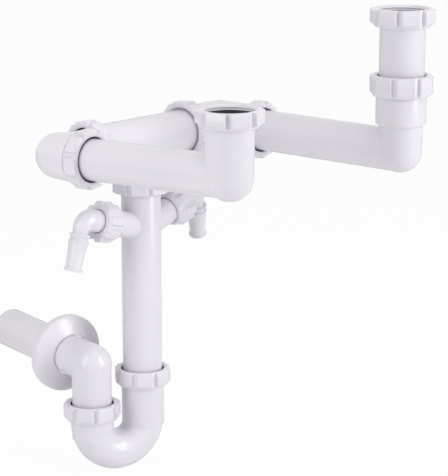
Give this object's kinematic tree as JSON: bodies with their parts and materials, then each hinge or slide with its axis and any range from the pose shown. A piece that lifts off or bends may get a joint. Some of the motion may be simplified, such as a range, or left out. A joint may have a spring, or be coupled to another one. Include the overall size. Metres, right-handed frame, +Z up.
{
  "type": "p trap",
  "caption": "White plastic double-bowl sink trap: two inlet arms on a tee, downpipe with hose stubs, P bend, wall outlet and cover.",
  "frame": {"origin": "where the second bowl's outlet seats on its washer, on the axis of that bowl nut", "axes": "+Z up along the bowl nut's axis, +X along the wall from the corner elbow to the back elbow, +Y into the wall"},
  "size_m": [0.292, 0.432, 0.4767],
  "materials": {
    "white_plastic": "moulded white polypropylene, satin gloss",
    "black_rubber": "matte black rubber"
  },
  "bodies": {
    "bowl_nut_b": {"sink_b_nut": "white_plastic"},
    "arm_b": {"arm_b": "white_plastic", "sink_b_washer": "black_rubber"},
    "corner": {"corner_elbow": "white_plastic", "corner_ring": "black_rubber"},
    "corner_nut": {"corner_nut": "white_plastic"},
    "tee": {"tee": "white_plastic", "tee_left_ring": "black_rubber", "tee_down_ring": "black_rubber"},
    "tee_left_nut": {"tee_left_nut": "white_plastic"},
    "tee_down_nut": {"tee_down_nut": "white_plastic"},
    "back_elbow": {"back_elbow": "white_plastic", "back_tee_ring": "black_rubber", "back_arm_ring": "black_rubber"},
    "back_tee_nut": {"back_tee_nut": "white_plastic"},
    "back_arm_nut": {"back_arm_nut": "white_plastic"},
    "arm_a": {"arm_a": "white_plastic", "tail_ring": "black_rubber"},
    "tail_nut": {"tail_nut": "white_plastic"},
    "tail": {"tail_tube": "white_plastic", "sink_a_washer": "black_rubber"},
    "bowl_nut_a": {"sink_a_nut": "white_plastic"},
    "downpipe": {"downpipe": "white_plastic", "hose_washer_left": "black_rubber", "hose_washer_right": "black_rubber"},
    "hose_nut_left": {"hose_nut_left": "white_plastic"},
    "hose_nozzle_left": {"hose_nozzle_left": "white_plastic"},
    "hose_nut_right": {"hose_nut_right": "white_plastic"},
    "hose_nozzle_right": {"hose_nozzle_right": "white_plastic"},
    "trap": {"trap_bend": "white_plastic", "trap_in_ring": "black_rubber", "trap_out_ring": "black_rubber"},
    "trap_in_nut": {"trap_in_nut": "white_plastic"},
    "trap_out_nut": {"trap_out_nut": "white_plastic"},
    "outlet": {"outlet_elbow": "white_plastic"},
    "cover": {"wall_cover": "white_plastic"}
  },
  "joints": [
    {"name": "arm_b_swivel", "type": "hinge", "parent": "bowl_nut_b", "child": "arm_b", "pos_m": [0, 0, -0.0538], "axis": [0, 0, 1], "continuous": true},
    {"name": "corner_swivel", "type": "hinge", "parent": "arm_b", "child": "corner", "pos_m": [-0.00765, 0.20849, -0.05926], "axis": [0.0366, -0.999, 0.0262], "range_deg": [-30, 30]},
    {"name": "corner_nut_turn", "type": "hinge", "parent": "corner", "child": "corner_nut", "pos_m": [-0.00765, 0.20849, -0.05926], "axis": [0.0366, -0.999, 0.0262], "continuous": true},
    {"name": "tee_swivel", "type": "hinge", "parent": "corner", "child": "tee", "pos_m": [0.10555, 0.20849, -0.05926], "axis": [1, 0, 0], "range_deg": [-25, 25]},
    {"name": "tee_left_nut_turn", "type": "hinge", "parent": "tee", "child": "tee_left_nut", "pos_m": [0.10555, 0.20849, -0.05926], "axis": [-1, 0, 0], "continuous": true},
    {"name": "tee_down_nut_turn", "type": "hinge", "parent": "tee", "child": "tee_down_nut", "pos_m": [0.10555, 0.20849, -0.05926], "axis": [0, 0, -1], "continuous": true},
    {"name": "back_swivel", "type": "hinge", "parent": "tee", "child": "back_elbow", "pos_m": [0.22515, 0.20849, -0.05926], "axis": [1, 0, 0], "range_deg": [-20, 20]},
    {"name": "back_tee_nut_turn", "type": "hinge", "parent": "back_elbow", "child": "back_tee_nut", "pos_m": [0.22515, 0.20849, -0.05926], "axis": [-1, 0, 0], "continuous": true},
    {"name": "back_arm_nut_turn", "type": "hinge", "parent": "back_elbow", "child": "back_arm_nut", "pos_m": [0.22515, 0.20849, -0.05926], "axis": [0, -1, 0], "continuous": true},
    {"name": "arm_a_swivel", "type": "hinge", "parent": "back_elbow", "child": "arm_a", "pos_m": [0.22515, -0.02291, -0.05926], "axis": [0, -1, 0], "range_deg": [-90, 90]},
    {"name": "tail_nut_turn", "type": "hinge", "parent": "arm_a", "child": "tail_nut", "pos_m": [0.22515, -0.02291, -0.05926], "axis": [0, 0, 1], "continuous": true},
    {"name": "tail_slide", "type": "slide", "parent": "arm_a", "child": "tail", "axis": [0, 0, 1], "range_m": [-0.013, 0.018]},
    {"name": "bowl_nut_a_turn", "type": "hinge", "parent": "tail", "child": "bowl_nut_a", "pos_m": [0.22515, -0.02291, 0.06904], "axis": [0, 0, 1], "continuous": true},
    {"name": "downpipe_slide", "type": "slide", "parent": "tee", "child": "downpipe", "axis": [0, 0, 1], "range_m": [-0.012, 0.005]},
    {"name": "hose_nut_left_turn", "type": "hinge", "parent": "downpipe", "child": "hose_nut_left", "pos_m": [0.10555, 0.20849, -0.14796], "axis": [-0.9703, 0, 0.2419], "continuous": true},
    {"name": "hose_nut_right_turn", "type": "hinge", "parent": "downpipe", "child": "hose_nut_right", "pos_m": [0.10555, 0.20849, -0.14796], "axis": [0.9703, 0, 0.2419], "continuous": true},
    {"name": "nozzle_left_swivel", "type": "hinge", "parent": "downpipe", "child": "hose_nozzle_left", "pos_m": [0.10555, 0.20849, -0.14796], "axis": [-0.9703, 0, 0.2419], "range_deg": [-90, 90]},
    {"name": "nozzle_right_swivel", "type": "hinge", "parent": "downpipe", "child": "hose_nozzle_right", "pos_m": [0.10555, 0.20849, -0.14796], "axis": [0.9703, 0, 0.2419], "range_deg": [-100, 75]},
    {"name": "trap_swivel", "type": "hinge", "parent": "downpipe", "child": "trap", "pos_m": [0.10555, 0.20849, -0.30056], "axis": [0, 0, 1], "continuous": true},
    {"name": "trap_in_nut_turn", "type": "hinge", "parent": "trap", "child": "trap_in_nut", "pos_m": [0.10555, 0.20849, -0.30056], "axis": [0, 0, 1], "continuous": true},
    {"name": "trap_out_nut_turn", "type": "hinge", "parent": "trap", "child": "trap_out_nut", "pos_m": [0.05071, 0.22737, -0.32896], "axis": [0, 0, 1], "continuous": true},
    {"name": "outlet_swivel", "type": "hinge", "parent": "trap", "child": "outlet", "pos_m": [0.05071, 0.22737, -0.28366], "axis": [0, 0, 1], "range_deg": [-12, 90]},
    {"name": "cover_slide", "type": "slide", "parent": "outlet", "child": "cover", "axis": [0.1787, 0.9833, 0.0349], "range_m": [-0.004, 0.088]}
  ]
}
